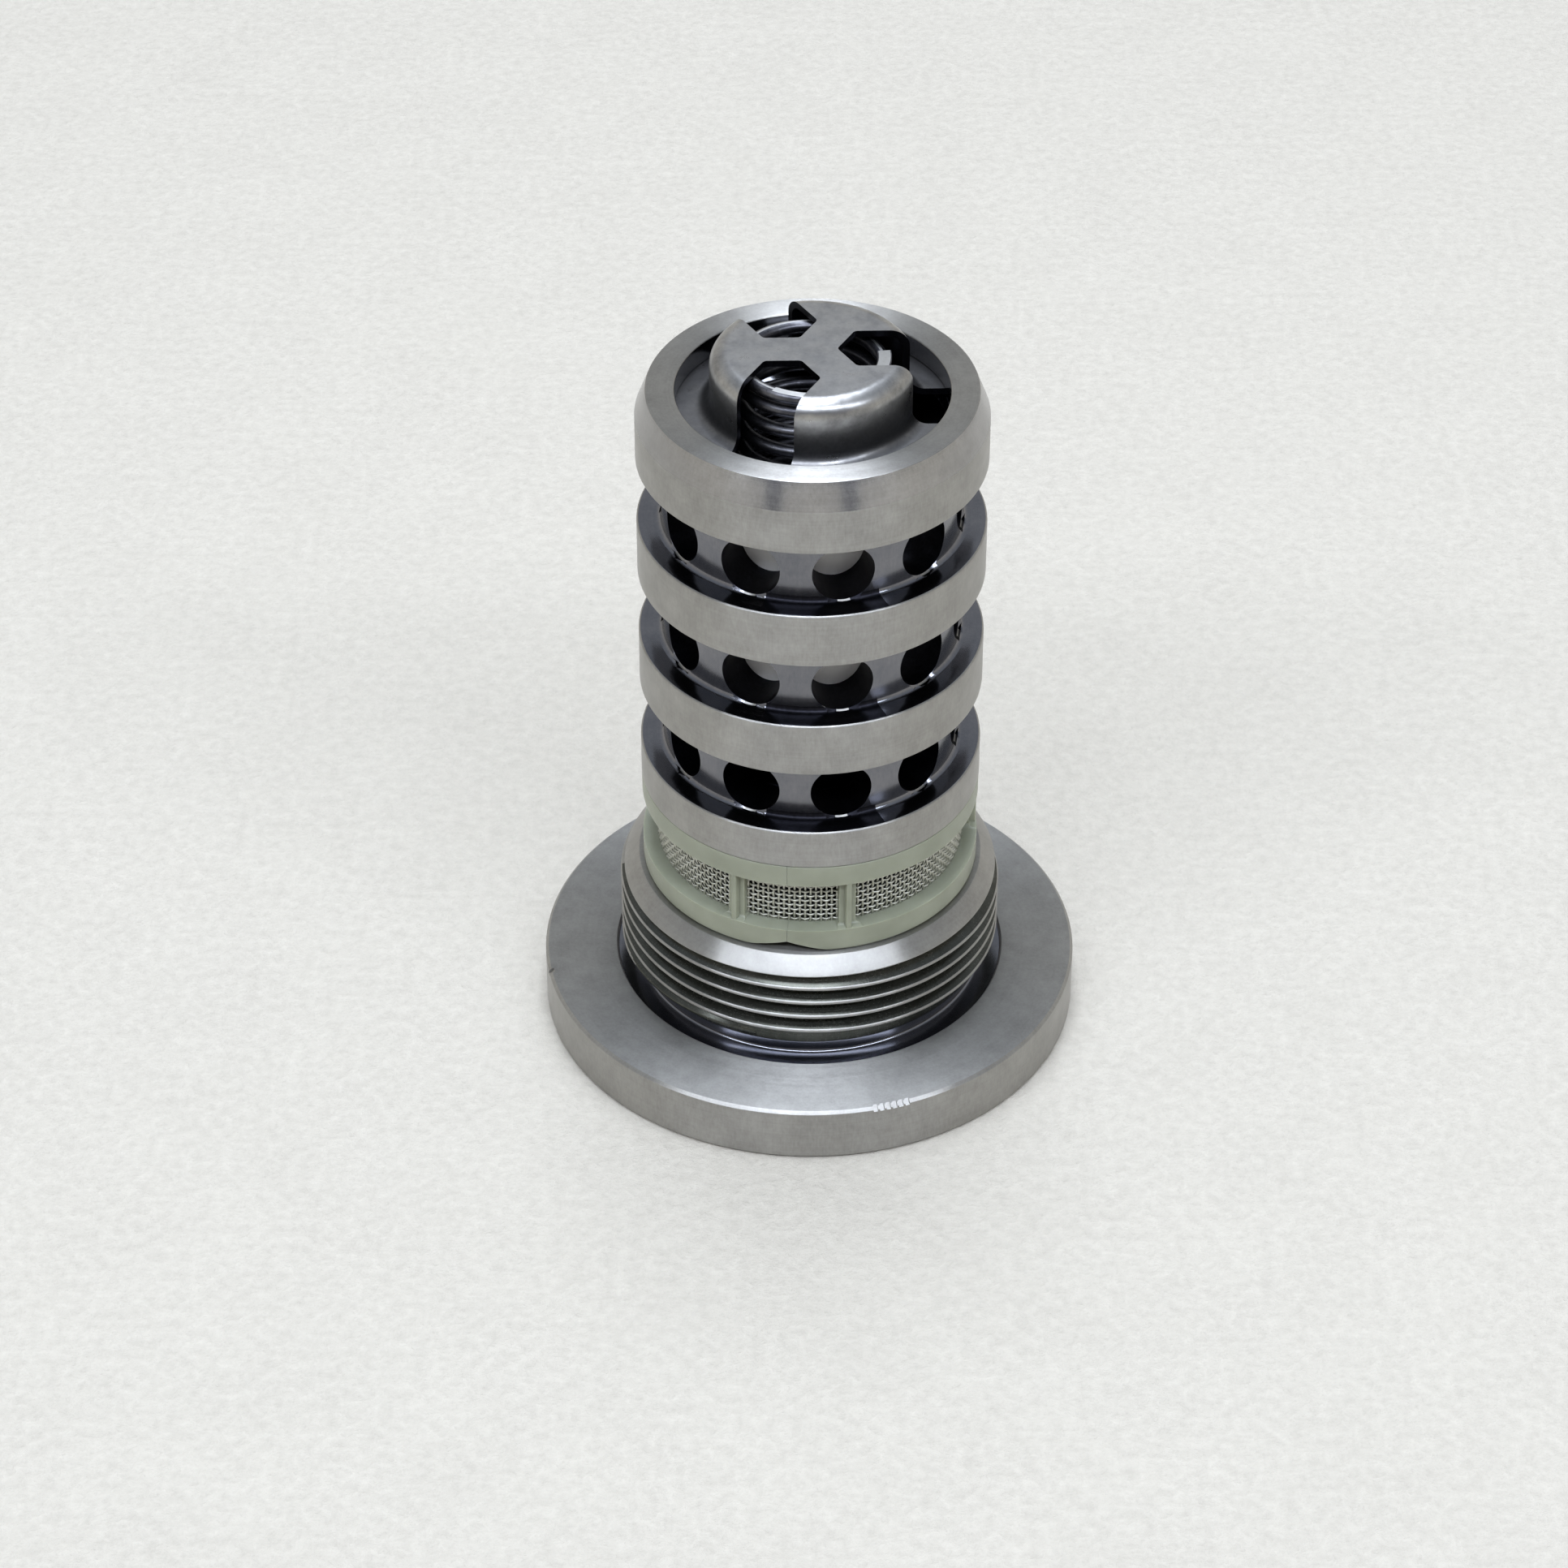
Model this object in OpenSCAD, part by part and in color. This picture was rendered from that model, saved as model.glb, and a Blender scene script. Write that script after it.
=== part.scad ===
// Camshaft-adjuster oil control valve: a flanged left-hand bolt with a spring-loaded spool in its bore.
// The origin is the centre of the flange's outer face. +Z runs along the bolt, towards the spring cap.
// Azimuths are in degrees, anticlockwise about +Z, and 0 is the -Y direction.

/* [Flange and thread] */
// Flange diameter
flange_d = 45; // [42:0.5:50]
// Flange thickness
flange_t = 5; // [5:0.25:5.5]
// Thread nominal diameter
thread_d = 32; // [31.8:0.1:32.4]
// Thread pitch
thread_pitch = 1.5; // [1.4:0.05:1.6]

/* [Lands and ports] */
// Diameter of the lands that fit the adjuster's bore
land_d = 28; // [27.6:0.1:28.2]
// Diameter at the floor of the oil grooves
groove_floor_d = 24; // [23.8:0.1:24.4]
// Width of an oil groove
groove_w = 5.9; // [5.6:0.1:6.2]
// Distance from one oil groove to the next
groove_pitch = 10.7; // [10.6:0.05:10.8]
// Diameter of a port hole in an oil groove
port_d = 5; // [4:0.25:5]
// Ports in each groove
port_count = 10; // [8:1:10]

/* [Bore and stroke] */
// Diameter of the spool bore
bore_d = 17; // [16.8:0.1:17]
// Radial running clearance of the spool
spool_fit = 0.025; // [0.015:0.005:0.04]

/* [Filter] */
// Angle from one filter bar to the next
bar_pitch = 80; // [78:1:82]
// Depth of the filter frame from its outside to the mesh
window_depth = 1.4; // [1.3:0.05:1.5]

/* [Cap and spring] */
// Width of each slot in the spring cap
slot_w = 5; // [4.5:0.1:5.2]
// Wire diameter of the return spring
spring_wire = 1.1; // [1:0.05:1.15]

/* [Hidden] */

steel = [0.56, 0.56, 0.54];
dark_steel = [0.36, 0.36, 0.36];
plastic = [0.66, 0.70, 0.58];
$fn = 96;
eps = 0.01;

// Housing, upwards from the flange
thread_major_r = thread_d / 2 - 0.07;
thread_root_r = thread_d / 2 - 0.65 * thread_pitch;
relief_r = thread_root_r - 0.6;
recess_r = thread_d / 2 + 0.4;
recess_depth = 0.35;
core_z0 = flange_t + 1.2;
collar_top_z = 15;
collar_top_r = land_d / 2 + 0.35;
ring_r = thread_major_r - 0.28;
ring_z = collar_top_z - (ring_r - collar_top_r);
ring_foot_z = ring_z - (ring_r - thread_root_r) * 0.577;
land_r = land_d / 2;
floor_r = groove_floor_d / 2;
filter_seat_top_z = 23.9;
first_groove_z = 27.45;
groove_z = [for (i = [0:2]) first_groove_z + i * groove_pitch];
fillet_r = 0.5;
body_top_z = 60.85;
top_chamfer_z = 58.6;
top_chamfer_r = land_r - 0.87;
bore_r = bore_d / 2;
port_first_az = 12.2;
supply_hole_d = 3.5;
supply_hole_z = 19.5;

// Snap groove that holds the cap, at the top of the bore
mouth_r = 10.85;
mouth_floor_z = 57;
snap_groove_r = 11.35;
sheet_t = 0.55;
cap_flange_top_z = 59;
cap_flange_z = cap_flange_top_z - sheet_t;

// Stop at the flange end of the bore
stop_bore_r = 9.6;
stop_z = 5.2;
washer_t = 1;
ring_t = 1.1;
ring_groove_z = stop_z - washer_t - ring_t - 0.1;
ring_groove_r = 10.3;
drive_hole_d = 4.2;
drive_hole_depth = 3;
drive_circle_d = 34;
drive_count = 6;

// Filter
frame_inner_r = floor_r + 0.08;
frame_outer_r = land_r - 0.03;
frame_z0 = collar_top_z + 0.06;
frame_z1 = filter_seat_top_z - 0.06;
window_z0 = 17.2;
window_z1 = 21.9;
bar_az = 13.5;
bar_count = 5;
bar_half_w = 3;
bar_r = frame_outer_r - 0.65;
bar_foot = 0.2;
rib_r = frame_outer_r - 0.05;
rib_w = 0.6;
joint_az = -7.5;
joint_gap = 0.16;
notch_half_w = 4.5;
notch_h = 0.95;
mesh_t = 0.25;
mesh_r = frame_outer_r - window_depth;
mesh_margin = 0.5;

// Cap
cap_top_z = 64.45;
cap_r = 8.1;
cap_shoulder_r = 1.5;
cap_foot_r = 1.2;
cap_flange_r = snap_groove_r - 0.1;
slot_point_r = 1.9;
slot_count = 3;
slot_az = -28;

// Spool, with the bore closed
spool_r = bore_r - spool_fit;
spool_z0 = stop_z + 0.03;
spool_z1 = 54.5;
spool_waist_r = 7;
spool_neck_r = 7.3;
inlet_z = [14, 22.4];
drain_z = [26.4, 35.9];
supply_z = [41.3, 46.4];
neck_z = 52;
gallery_r = 4.5;
pocket_r = 6.45;
pocket_z = 50;
cross_hole_d = 3;
cross_hole_count = 6;
inlet_hole_z = 17;
press_gap = 0.02;
plug_z = [3.6, 10];
gallery_plug_z = [46.7, 49.6];

// Check valve inside the spool
seat_z = [20, 23];
seat_bore_r = 2.2;
ball_r = 3;
ball_z = seat_z[1] + sqrt(pow(ball_r, 2) - pow(seat_bore_r, 2)) + 0.03;
cage_z0 = seat_z[1] + press_gap;
cage_flange_t = 1.2;
cage_r = 3.9;
cage_bore_r = 3.2;
cage_top_z = 32.8;
cage_roof_t = 0.8;
cage_slot_w = 2.2;

// Springs
spring_r = 6.2 - spring_wire / 2;
spring_z = [pocket_z + 0.05, cap_top_z - sheet_t - 0.03];
spring_pitch = 1.85;
check_wire = 0.4;
check_spring_r = 1.9;
check_spring_z = [27.5, cage_top_z - cage_roof_t - 0.03];

// Points on an arc about (cx, cz), in steps from angle a0 to angle a1.
function arc(cx, cz, r, a0, a1, steps = 6) =
    [for (i = [0:steps]) [cx + r * cos(a0 + (a1 - a0) * i / steps), cz + r * sin(a0 + (a1 - a0) * i / steps)]];

// Turns its children so that their -Y direction faces the azimuth.
module at_azimuth(az) {
    rotate([0, 0, az]) children();
}

// A round hole from the axis outwards.
module radial_hole(d, z, az, r_in, r_out) {
    at_azimuth(az)
        translate([0, -r_in, z])
            rotate([90, 0, 0])
                cylinder(d = d, h = r_out - r_in, $fn = 48);
}

// A ring with a rectangular section.
module tube(r_out, r_in, z0, z1) {
    difference() {
        translate([0, 0, z0]) cylinder(r = r_out, h = z1 - z0);
        translate([0, 0, z0 - 1]) cylinder(r = r_in, h = z1 - z0 + 2);
    }
}

// A solid swept along a helix: section(i) gives the [radius, z] points of ring i, and angle(i) its azimuth.
module sweep(rings, angles) {
    count = len(rings);
    side = len(rings[0]);
    points = [for (i = [0:count - 1], p = rings[i]) [p[0] * sin(angles[i]), -p[0] * cos(angles[i]), p[1]]];
    walls = [for (i = [0:count - 2], j = [0:side - 1])
        let (a = i * side + j, b = i * side + (j + 1) % side)
            each [[a, b, b + side], [a, b + side, a + side]]];
    start_cap = [for (j = [1:side - 2]) [0, j + 1, j]];
    last = (count - 1) * side;
    end_cap = [for (j = [1:side - 2]) [last, last + j, last + j + 1]];
    polyhedron(points = points, faces = concat(walls, start_cap, end_cap));
}

// Left-hand thread ridge. It runs out in the relief below and in the lead ring above.
module thread_ridge() {
    steps_per_turn = 60;
    z_start = core_z0 + 0.47;
    z_end = ring_z;
    turns = (z_end - z_start) / thread_pitch;
    steps = round(turns * steps_per_turn);
    foot_az = -17;
    root_half = 0.43 * thread_pitch;
    crest_half = 0.065 * thread_pitch;
    z_of = function (i) z_start + (z_end - z_start) * i / steps;
    crest_of = function (i) min(thread_major_r, thread_root_r + 0.05 + 0.09 * i,
        ring_r - 0.1 + max(0, z_end - 0.15 - z_of(i)));
    rings = [for (i = [0:steps])
        [[thread_root_r - 0.2, z_of(i) - root_half], [thread_root_r - 0.2, z_of(i) + root_half],
         [crest_of(i), z_of(i) + crest_half], [crest_of(i), z_of(i) - crest_half]]];
    angles = [for (i = [0:steps]) foot_az - 360 * i / steps_per_turn];
    sweep(rings, angles);
}

module housing_profile() {
    grooves = [for (z = groove_z) each concat(
        [[land_r, z], [floor_r + fillet_r, z]],
        arc(floor_r + fillet_r, z + fillet_r, fillet_r, 270, 180, 5),
        [[floor_r, z + groove_w], [land_r, z + groove_w]])];
    outside = concat(
        [[flange_d / 2 - 0.4, 0], [flange_d / 2, 0.4], [flange_d / 2, flange_t - 0.2],
         [flange_d / 2 - 0.2, flange_t], [recess_r, flange_t], [recess_r - 0.15, flange_t - recess_depth],
         [relief_r, flange_t - recess_depth], [relief_r, core_z0 - 0.5], [thread_root_r, core_z0],
         [thread_root_r, ring_foot_z], [ring_r, ring_z], [collar_top_r, collar_top_z],
         [floor_r, collar_top_z], [floor_r, filter_seat_top_z], [land_r, filter_seat_top_z]],
        grooves,
        [[land_r, top_chamfer_z], [top_chamfer_r, body_top_z]]);
    inside = [[mouth_r + 0.15, body_top_z], [mouth_r, body_top_z - 0.15], [mouth_r, cap_flange_top_z + 0.05],
              [snap_groove_r, cap_flange_top_z + 0.05], [snap_groove_r, cap_flange_z - 0.15],
              [mouth_r, cap_flange_z - 0.15], [mouth_r, mouth_floor_z], [bore_r, mouth_floor_z - 0.6],
              [bore_r, stop_z], [stop_bore_r, stop_z], [stop_bore_r, ring_groove_z + ring_t + 0.1],
              [ring_groove_r, ring_groove_z + ring_t + 0.1], [ring_groove_r, ring_groove_z],
              [stop_bore_r, ring_groove_z], [stop_bore_r, 0.6], [stop_bore_r + 0.6, 0]];
    polygon(concat(outside, inside));
}

module valve_housing() {
    color(steel)
    difference() {
        union() {
            rotate_extrude($fn = 128) housing_profile();
            thread_ridge();
        }
        for (z = groove_z, i = [0:port_count - 1])
            radial_hole(port_d, z + port_d / 2 + 0.02, port_first_az + i * 360 / port_count, bore_r - 2, land_r + 1);
        for (i = [0:port_count - 1])
            radial_hole(supply_hole_d, supply_hole_z, port_first_az + i * 360 / port_count, bore_r - 2, floor_r + 1);
        for (i = [0:drive_count - 1])
            at_azimuth(i * 360 / drive_count)
                translate([0, -drive_circle_d / 2, -1])
                    cylinder(d = drive_hole_d, h = drive_hole_depth + 1, $fn = 48);
    }
}

function bar_at(i) = i < bar_count ? bar_az + i * bar_pitch : bar_az + 360;

// The wedge of a window between two azimuths, out past the frame.
module window_cut(az0, az1) {
    reach = frame_outer_r + 3;
    half = (az1 - az0) / 2;
    at_azimuth((az0 + az1) / 2)
        translate([0, 0, window_z0])
            linear_extrude(window_z1 - window_z0)
                polygon([[0, 0], [-reach * sin(half), -reach * cos(half)], [0, -reach * 1.1],
                         [reach * sin(half), -reach * cos(half)]]);
}

// The notch on the lower rim, where the strip's two ends curve up to the joint.
module joint_notch() {
    steps = 8;
    sink = 0.06;
    edge = [for (i = [-steps:steps])
        [notch_half_w * i / steps, frame_z0 - sink + (notch_h + sink) * pow(1 - abs(i) / steps, 1.2)]];
    at_azimuth(joint_az)
        translate([0, -frame_inner_r + 1, 0])
            rotate([90, 0, 0])
                linear_extrude(4)
                    polygon(concat(edge, [[notch_half_w + 1, frame_z0 - 1], [-notch_half_w - 1, frame_z0 - 1]]));
}

module filter_frame() {
    color(plastic)
    difference() {
        union() {
            difference() {
                tube(frame_outer_r, frame_inner_r, frame_z0, frame_z1);
                tube(frame_outer_r + 1, bar_r, window_z0 + bar_foot, window_z1 - bar_foot);
                for (i = [0:bar_count - 1]) window_cut(bar_at(i) + bar_half_w, bar_at(i + 1) - bar_half_w);
            }
            for (i = [0:bar_count - 1])
                at_azimuth(bar_at(i))
                    translate([-rib_w / 2, -rib_r, window_z0 - 0.3])
                        cube([rib_w, rib_r - bar_r + 0.3, window_z1 - window_z0 + 0.6]);
        }
        tube(mesh_r + mesh_t / 2 + press_gap, mesh_r - mesh_t / 2 - press_gap,
             window_z0 - mesh_margin - press_gap, window_z1 + mesh_margin + press_gap);
        at_azimuth(joint_az)
            translate([-joint_gap / 2, -frame_outer_r - 1, frame_z0 - 1])
                cube([joint_gap, frame_outer_r - frame_inner_r + 2, frame_z1 - frame_z0 + 2]);
        joint_notch();
    }
}

module filter_mesh() {
    color(dark_steel)
    tube(mesh_r + mesh_t / 2, mesh_r - mesh_t / 2, window_z0 - mesh_margin, window_z1 + mesh_margin);
}

module cap_profile() {
    shoulder_c = [cap_r - cap_shoulder_r, cap_top_z - cap_shoulder_r];
    foot_c = [cap_r + cap_foot_r, cap_flange_top_z + cap_foot_r];
    polygon(concat(
        [[0, cap_top_z]],
        arc(shoulder_c[0], shoulder_c[1], cap_shoulder_r, 90, 0, 8),
        arc(foot_c[0], foot_c[1], cap_foot_r, 180, 270, 6),
        [[cap_flange_r, cap_flange_top_z], [cap_flange_r, cap_flange_z]],
        arc(foot_c[0], foot_c[1], cap_foot_r + sheet_t, 270, 180, 6),
        arc(shoulder_c[0], shoulder_c[1], cap_shoulder_r - sheet_t, 0, 90, 8),
        [[0, cap_top_z - sheet_t]]));
}

// A slot with parallel sides and a 120 degree point towards the cap's middle.
module cap_slot() {
    half = slot_w / 2;
    corner_r = slot_point_r + half / tan(60);
    translate([0, 0, cap_flange_z - 1])
        linear_extrude(cap_top_z - cap_flange_z + 2)
            polygon([[0, -slot_point_r], [half, -corner_r], [half, -cap_flange_r - 2],
                     [-half, -cap_flange_r - 2], [-half, -corner_r]]);
}

module spring_cap() {
    color(steel)
    difference() {
        rotate_extrude($fn = 128) cap_profile();
        for (i = [0:slot_count - 1]) at_azimuth(slot_az + i * 360 / slot_count) cap_slot();
    }
}

// A compression spring with closed ends that are ground flat.
module helical_spring(r, wire, z0, z1, pitch, steps_per_turn, sides) {
    rise_closed = 0.9 * wire;
    z_low = z0 + 0.5 * wire;
    z_high = z1 - 0.5 * wire;
    active = (z_high - z_low - 2 * rise_closed) / pitch;
    turns = active + 2;
    steps = round(turns * steps_per_turn);
    z_at = function (t) t < 1 ? z_low + rise_closed * t
        : t > turns - 1 ? z_high - rise_closed * (turns - t)
        : z_low + rise_closed + (t - 1) * pitch;
    rings = [for (i = [0:steps])
        let (z = z_at(turns * i / steps))
            [for (j = [0:sides - 1])
                let (a = 360 * (j + 0.5) / sides)
                    [r + wire / 2 * cos(a), min(z1, max(z0, z + wire / 2 * sin(a)))]]];
    angles = [for (i = [0:steps]) -40 + 360 * turns * (i - steps) / steps];
    sweep([for (ring = rings) [for (k = [0:sides - 1]) ring[sides - 1 - k]]], angles);
}

module return_spring() {
    color(dark_steel)
    helical_spring(spring_r, spring_wire, spring_z[0], spring_z[1], spring_pitch, 36, 8);
}

module check_spring() {
    color(dark_steel)
    helical_spring(check_spring_r, check_wire, check_spring_z[0], check_spring_z[1], 0.95, 24, 6);
}

module spool_profile() {
    lead = 0.15;
    waists = [for (w = [inlet_z, drain_z, supply_z])
        each [[spool_r, w[0]], [spool_waist_r, w[0]], [spool_waist_r, w[1]], [spool_r, w[1]]]];
    polygon(concat(
        [[gallery_r, spool_z0], [spool_r - lead, spool_z0], [spool_r, spool_z0 + lead]],
        waists,
        [[spool_r, neck_z], [spool_neck_r, neck_z], [spool_neck_r, spool_z1], [pocket_r, spool_z1],
         [pocket_r, pocket_z], [gallery_r, pocket_z]]));
}

module spool() {
    color(steel)
    difference() {
        rotate_extrude($fn = 128) spool_profile();
        for (z = [inlet_hole_z, (supply_z[0] + supply_z[1]) / 2], i = [0:cross_hole_count - 1])
            radial_hole(cross_hole_d, z, i * 360 / cross_hole_count, gallery_r - 2, spool_r + 1);
    }
}

module push_plug() {
    r = gallery_r - press_gap;
    color(dark_steel)
    rotate_extrude()
        polygon([[0, plug_z[0]], [r - 0.8, plug_z[0]], [r, plug_z[0] + 0.8], [r, plug_z[1]], [0, plug_z[1]]]);
}

module gallery_plug() {
    r = gallery_r - press_gap;
    color(dark_steel)
    translate([0, 0, gallery_plug_z[0]])
        cylinder(r = r, h = gallery_plug_z[1] - gallery_plug_z[0]);
}

module check_seat() {
    color(dark_steel)
    tube(gallery_r - press_gap, seat_bore_r, seat_z[0], seat_z[1]);
}

module check_ball() {
    color(steel)
    translate([0, 0, ball_z]) sphere(r = ball_r);
}

module check_cage() {
    roof_z = cage_top_z - cage_roof_t;
    color(steel)
    difference() {
        rotate_extrude()
            polygon([[cage_bore_r, cage_z0], [gallery_r - press_gap, cage_z0],
                     [gallery_r - press_gap, cage_z0 + cage_flange_t], [cage_r, cage_z0 + cage_flange_t],
                     [cage_r, cage_top_z], [1.2, cage_top_z], [1.2, roof_z], [cage_bore_r, roof_z]]);
        for (i = [0:3])
            at_azimuth(i * 90)
                translate([-cage_slot_w / 2, -cage_r - 1, cage_z0 + cage_flange_t + 0.4])
                    cube([cage_slot_w, cage_r - 1.4, roof_z - cage_z0 - cage_flange_t - 1]);
    }
}

module stop_washer() {
    color(steel)
    tube(stop_bore_r - 0.05, 5.2, stop_z - washer_t, stop_z);
}

// An internal retaining ring with two eyes beside its gap.
module retaining_ring() {
    inner_r = 8.9;
    gap_half_az = 16;
    eye_az = 22;
    eye_r = 1.2;
    z0 = ring_groove_z + 0.05;
    color(dark_steel)
    difference() {
        union() {
            rotate([0, 0, 90 + gap_half_az])
                rotate_extrude(angle = 360 - 2 * gap_half_az)
                    translate([inner_r, z0])
                        square([ring_groove_r - 0.05 - inner_r, ring_t]);
            for (side = [-1, 1])
                at_azimuth(180 + side * eye_az)
                    translate([0, -inner_r + 0.35, z0])
                        cylinder(r = eye_r, h = ring_t, $fn = 32);
        }
        for (side = [-1, 1])
            at_azimuth(180 + side * eye_az)
                translate([0, -inner_r + 0.35, z0 - 1])
                    cylinder(r = 0.55, h = ring_t + 2, $fn = 24);
    }
}

valve_housing();
filter_frame();
filter_mesh();
spring_cap();
return_spring();
spool();
push_plug();
gallery_plug();
check_seat();
check_ball();
check_spring();
check_cage();
stop_washer();
retaining_ring();
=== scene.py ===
"""Looks of the camshaft-adjuster oil control valve: detailed pieces, materials, light and camera.

Lengths are in millimetres until a mesh is made, and in metres for the lights and the camera. Azimuths are
in degrees, anticlockwise about +Z, and 0 is the -Y direction, which faces the camera.
"""

import math

import bpy
import numpy as np
from mathutils import Matrix, Vector


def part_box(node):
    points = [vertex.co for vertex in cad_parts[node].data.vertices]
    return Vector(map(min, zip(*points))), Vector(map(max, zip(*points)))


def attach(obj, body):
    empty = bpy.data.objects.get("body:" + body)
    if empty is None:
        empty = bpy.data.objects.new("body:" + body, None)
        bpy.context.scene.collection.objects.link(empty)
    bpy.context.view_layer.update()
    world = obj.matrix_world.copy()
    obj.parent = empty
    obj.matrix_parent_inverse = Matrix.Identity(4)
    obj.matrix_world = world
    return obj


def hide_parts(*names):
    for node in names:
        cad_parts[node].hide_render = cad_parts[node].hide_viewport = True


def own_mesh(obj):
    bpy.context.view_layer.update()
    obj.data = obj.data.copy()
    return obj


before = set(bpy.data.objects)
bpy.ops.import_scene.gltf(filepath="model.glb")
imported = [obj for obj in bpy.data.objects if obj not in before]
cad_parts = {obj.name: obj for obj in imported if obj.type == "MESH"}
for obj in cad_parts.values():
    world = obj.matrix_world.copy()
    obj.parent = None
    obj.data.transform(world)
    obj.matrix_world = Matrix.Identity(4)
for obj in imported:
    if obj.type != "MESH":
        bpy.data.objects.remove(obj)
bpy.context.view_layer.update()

MM = 0.001
SHARP_ANGLE = math.radians(32)
AZIMUTH_STEPS = 360


# ------------------------ sizes, from the CAD boxes where these give them


def box_mm(node):
    """Lowest and highest corner of a CAD node, in millimetres."""
    low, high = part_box(node)
    return np.array(low) / MM, np.array(high) / MM


_, housing_high = box_mm("valve_housing")
frame_low, frame_high = box_mm("filter_frame")
mesh_low, mesh_high = box_mm("filter_mesh")
cap_low, cap_high = box_mm("spring_cap")
spool_low, spool_high = box_mm("spool")

flange_r = housing_high[0]
body_top_z = housing_high[2]
flange_t = 5.0
edge_chamfer = 0.25
thread_major_r = 15.93
thread_pitch = 1.5
thread_root_r = 15.025
relief_r = 14.425
recess_r = 16.4
recess_depth = 0.35
core_z0 = 6.2
collar_top_z = 15.0
collar_top_r = 14.35
ring_r = 15.65
ring_z = 13.7
ring_foot_z = 13.34
land_r = 14.0
floor_r = 12.0
filter_seat_top_z = 23.9
groove_z = [27.45, 38.15, 48.85]
groove_w = 5.9
groove_fillet = 0.5
top_chamfer_z = 58.6
top_chamfer_r = 13.13
bore_r = 8.5
mouth_r = 10.85
mouth_floor_z = 57.0
snap_groove_r = 11.35
snap_z = [58.3, 59.05]
stop_bore_r = 9.6
stop_z = 5.2
ring_groove_r = 10.3
ring_groove_z = [3.0, 4.2]
port_d = 5.0
port_count = 10
port_first_az = 12.2
port_break = 0.14
supply_hole_d = 3.5
supply_hole_z = 19.5
drive_hole_d = 4.2
drive_hole_depth = 3.0
drive_circle_r = 17.0
drive_count = 6

# Wear on the bolt, a row of nicks in the flange's edge and a lone nick, and the azimuths of a painted black
# shade on the front of the grooves' lower faces
nick_az = 14.3
nick_pitch = 1.4
nick_count = 6
nick_w = 0.38
nick_depth = 0.42
lone_nick_az = -78
lone_nick_w = 0.5
lone_nick_depth = 0.45
groove_shade_az = [-17, 26]

frame_r = frame_high[0]
frame_inner_r = floor_r + 0.08
frame_z0 = frame_low[2]
frame_z1 = frame_high[2]
window_z0 = 17.2
window_z1 = 21.9
window_corner_r = 0.25
bar_count = 5
bar_pitch = 80
bar_half_w = 3
bar_az = 13.5
bar_r = frame_r - 0.65
rib_r = frame_r - 0.05
rib_height = 0.95
joint_az = -7.5
joint_gap = 0.02
notch_half_w = 4.5
notch_h = 0.95

mesh_t = 0.25
mesh_r = mesh_high[0] - mesh_t / 2
wire_d = 0.2
upright_pitch = 0.435
weft_pitch = 0.465

cap_top_z = cap_high[2]
cap_flange_r = cap_high[0]
cap_r = 8.1
cap_shoulder_r = 1.5
cap_foot_r = 1.2
cap_flange_z = cap_low[2]
sheet_t = 0.55
slot_w = 5.0
slot_point_r = 1.9
slot_corner_r = 0.45
slot_az = -28
slot_count = 3

spool_r = spool_high[0]
waist_r = 7.0
waist_z = [(14, 22.4), (26.4, 35.9), (41.3, 46.4)]
gallery_r = 4.5
pocket_r = 6.45
pocket_z = 50.0
neck_z = 52.0
neck_r = 7.3
cross_hole_r = 1.5
cross_hole_count = 6
cross_hole_z = [17, sum(waist_z[2]) / 2]

spring_wire = 1.1
spring_pitch = 1.85
check_wire = 0.4
check_pitch = 0.95


# ------------------------ mesh helpers


def polar(r, az):
    """x and y at a radius and an azimuth."""
    return r * math.sin(math.radians(az)), -r * math.cos(math.radians(az))


def merge(parts):
    """One (vertices, faces) pair from several."""
    vertices = []
    faces = []
    for part_vertices, part_faces in parts:
        start = len(vertices)
        vertices.extend(part_vertices)
        faces.extend([start + i for i in face] for face in part_faces)
    return vertices, faces


def make_object(name, shape):
    """A mesh object from (vertices, faces) in millimetres."""
    vertices, faces = shape
    mesh = bpy.data.meshes.new(name)
    mesh.from_pydata([(x * MM, y * MM, z * MM) for x, y, z in vertices], [], faces)
    mesh.update()
    obj = bpy.data.objects.new(name, mesh)
    bpy.context.scene.collection.objects.link(obj)
    return obj


def round_corners(points, steps=5):
    """A closed outline from (x, y, radius) corners, each rounded to its radius."""
    outline = []
    count = len(points)
    for i, (x, y, radius) in enumerate(points):
        if radius <= 0:
            outline.append((x, y))
            continue
        before = np.array(points[i - 1][:2], float) - (x, y)
        after = np.array(points[(i + 1) % count][:2], float) - (x, y)
        before /= np.linalg.norm(before)
        after /= np.linalg.norm(after)
        half_angle = math.acos(np.clip(before @ after, -1, 1)) / 2
        reach = radius / math.tan(half_angle)
        middle = (before + after) / np.linalg.norm(before + after)
        centre = np.array([x, y]) + middle * radius / math.sin(half_angle)
        start = np.array([x, y]) + before * reach - centre
        end = np.array([x, y]) + after * reach - centre
        a0 = math.atan2(start[1], start[0])
        turn = (math.atan2(end[1], end[0]) - a0 + math.pi) % (2 * math.pi) - math.pi
        for k in range(steps + 1):
            a = a0 + turn * k / steps
            outline.append((centre[0] + radius * math.cos(a), centre[1] + radius * math.sin(a)))
    return outline


def refine(outline, step):
    """The same closed outline with long edges cut into pieces no longer than step."""
    refined = []
    for (x0, y0), (x1, y1) in zip(outline, outline[1:] + outline[:1]):
        pieces = max(1, math.ceil(math.hypot(x1 - x0, y1 - y0) / step))
        refined.extend((x0 + (x1 - x0) * k / pieces, y0 + (y1 - y0) * k / pieces) for k in range(pieces))
    return refined


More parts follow.
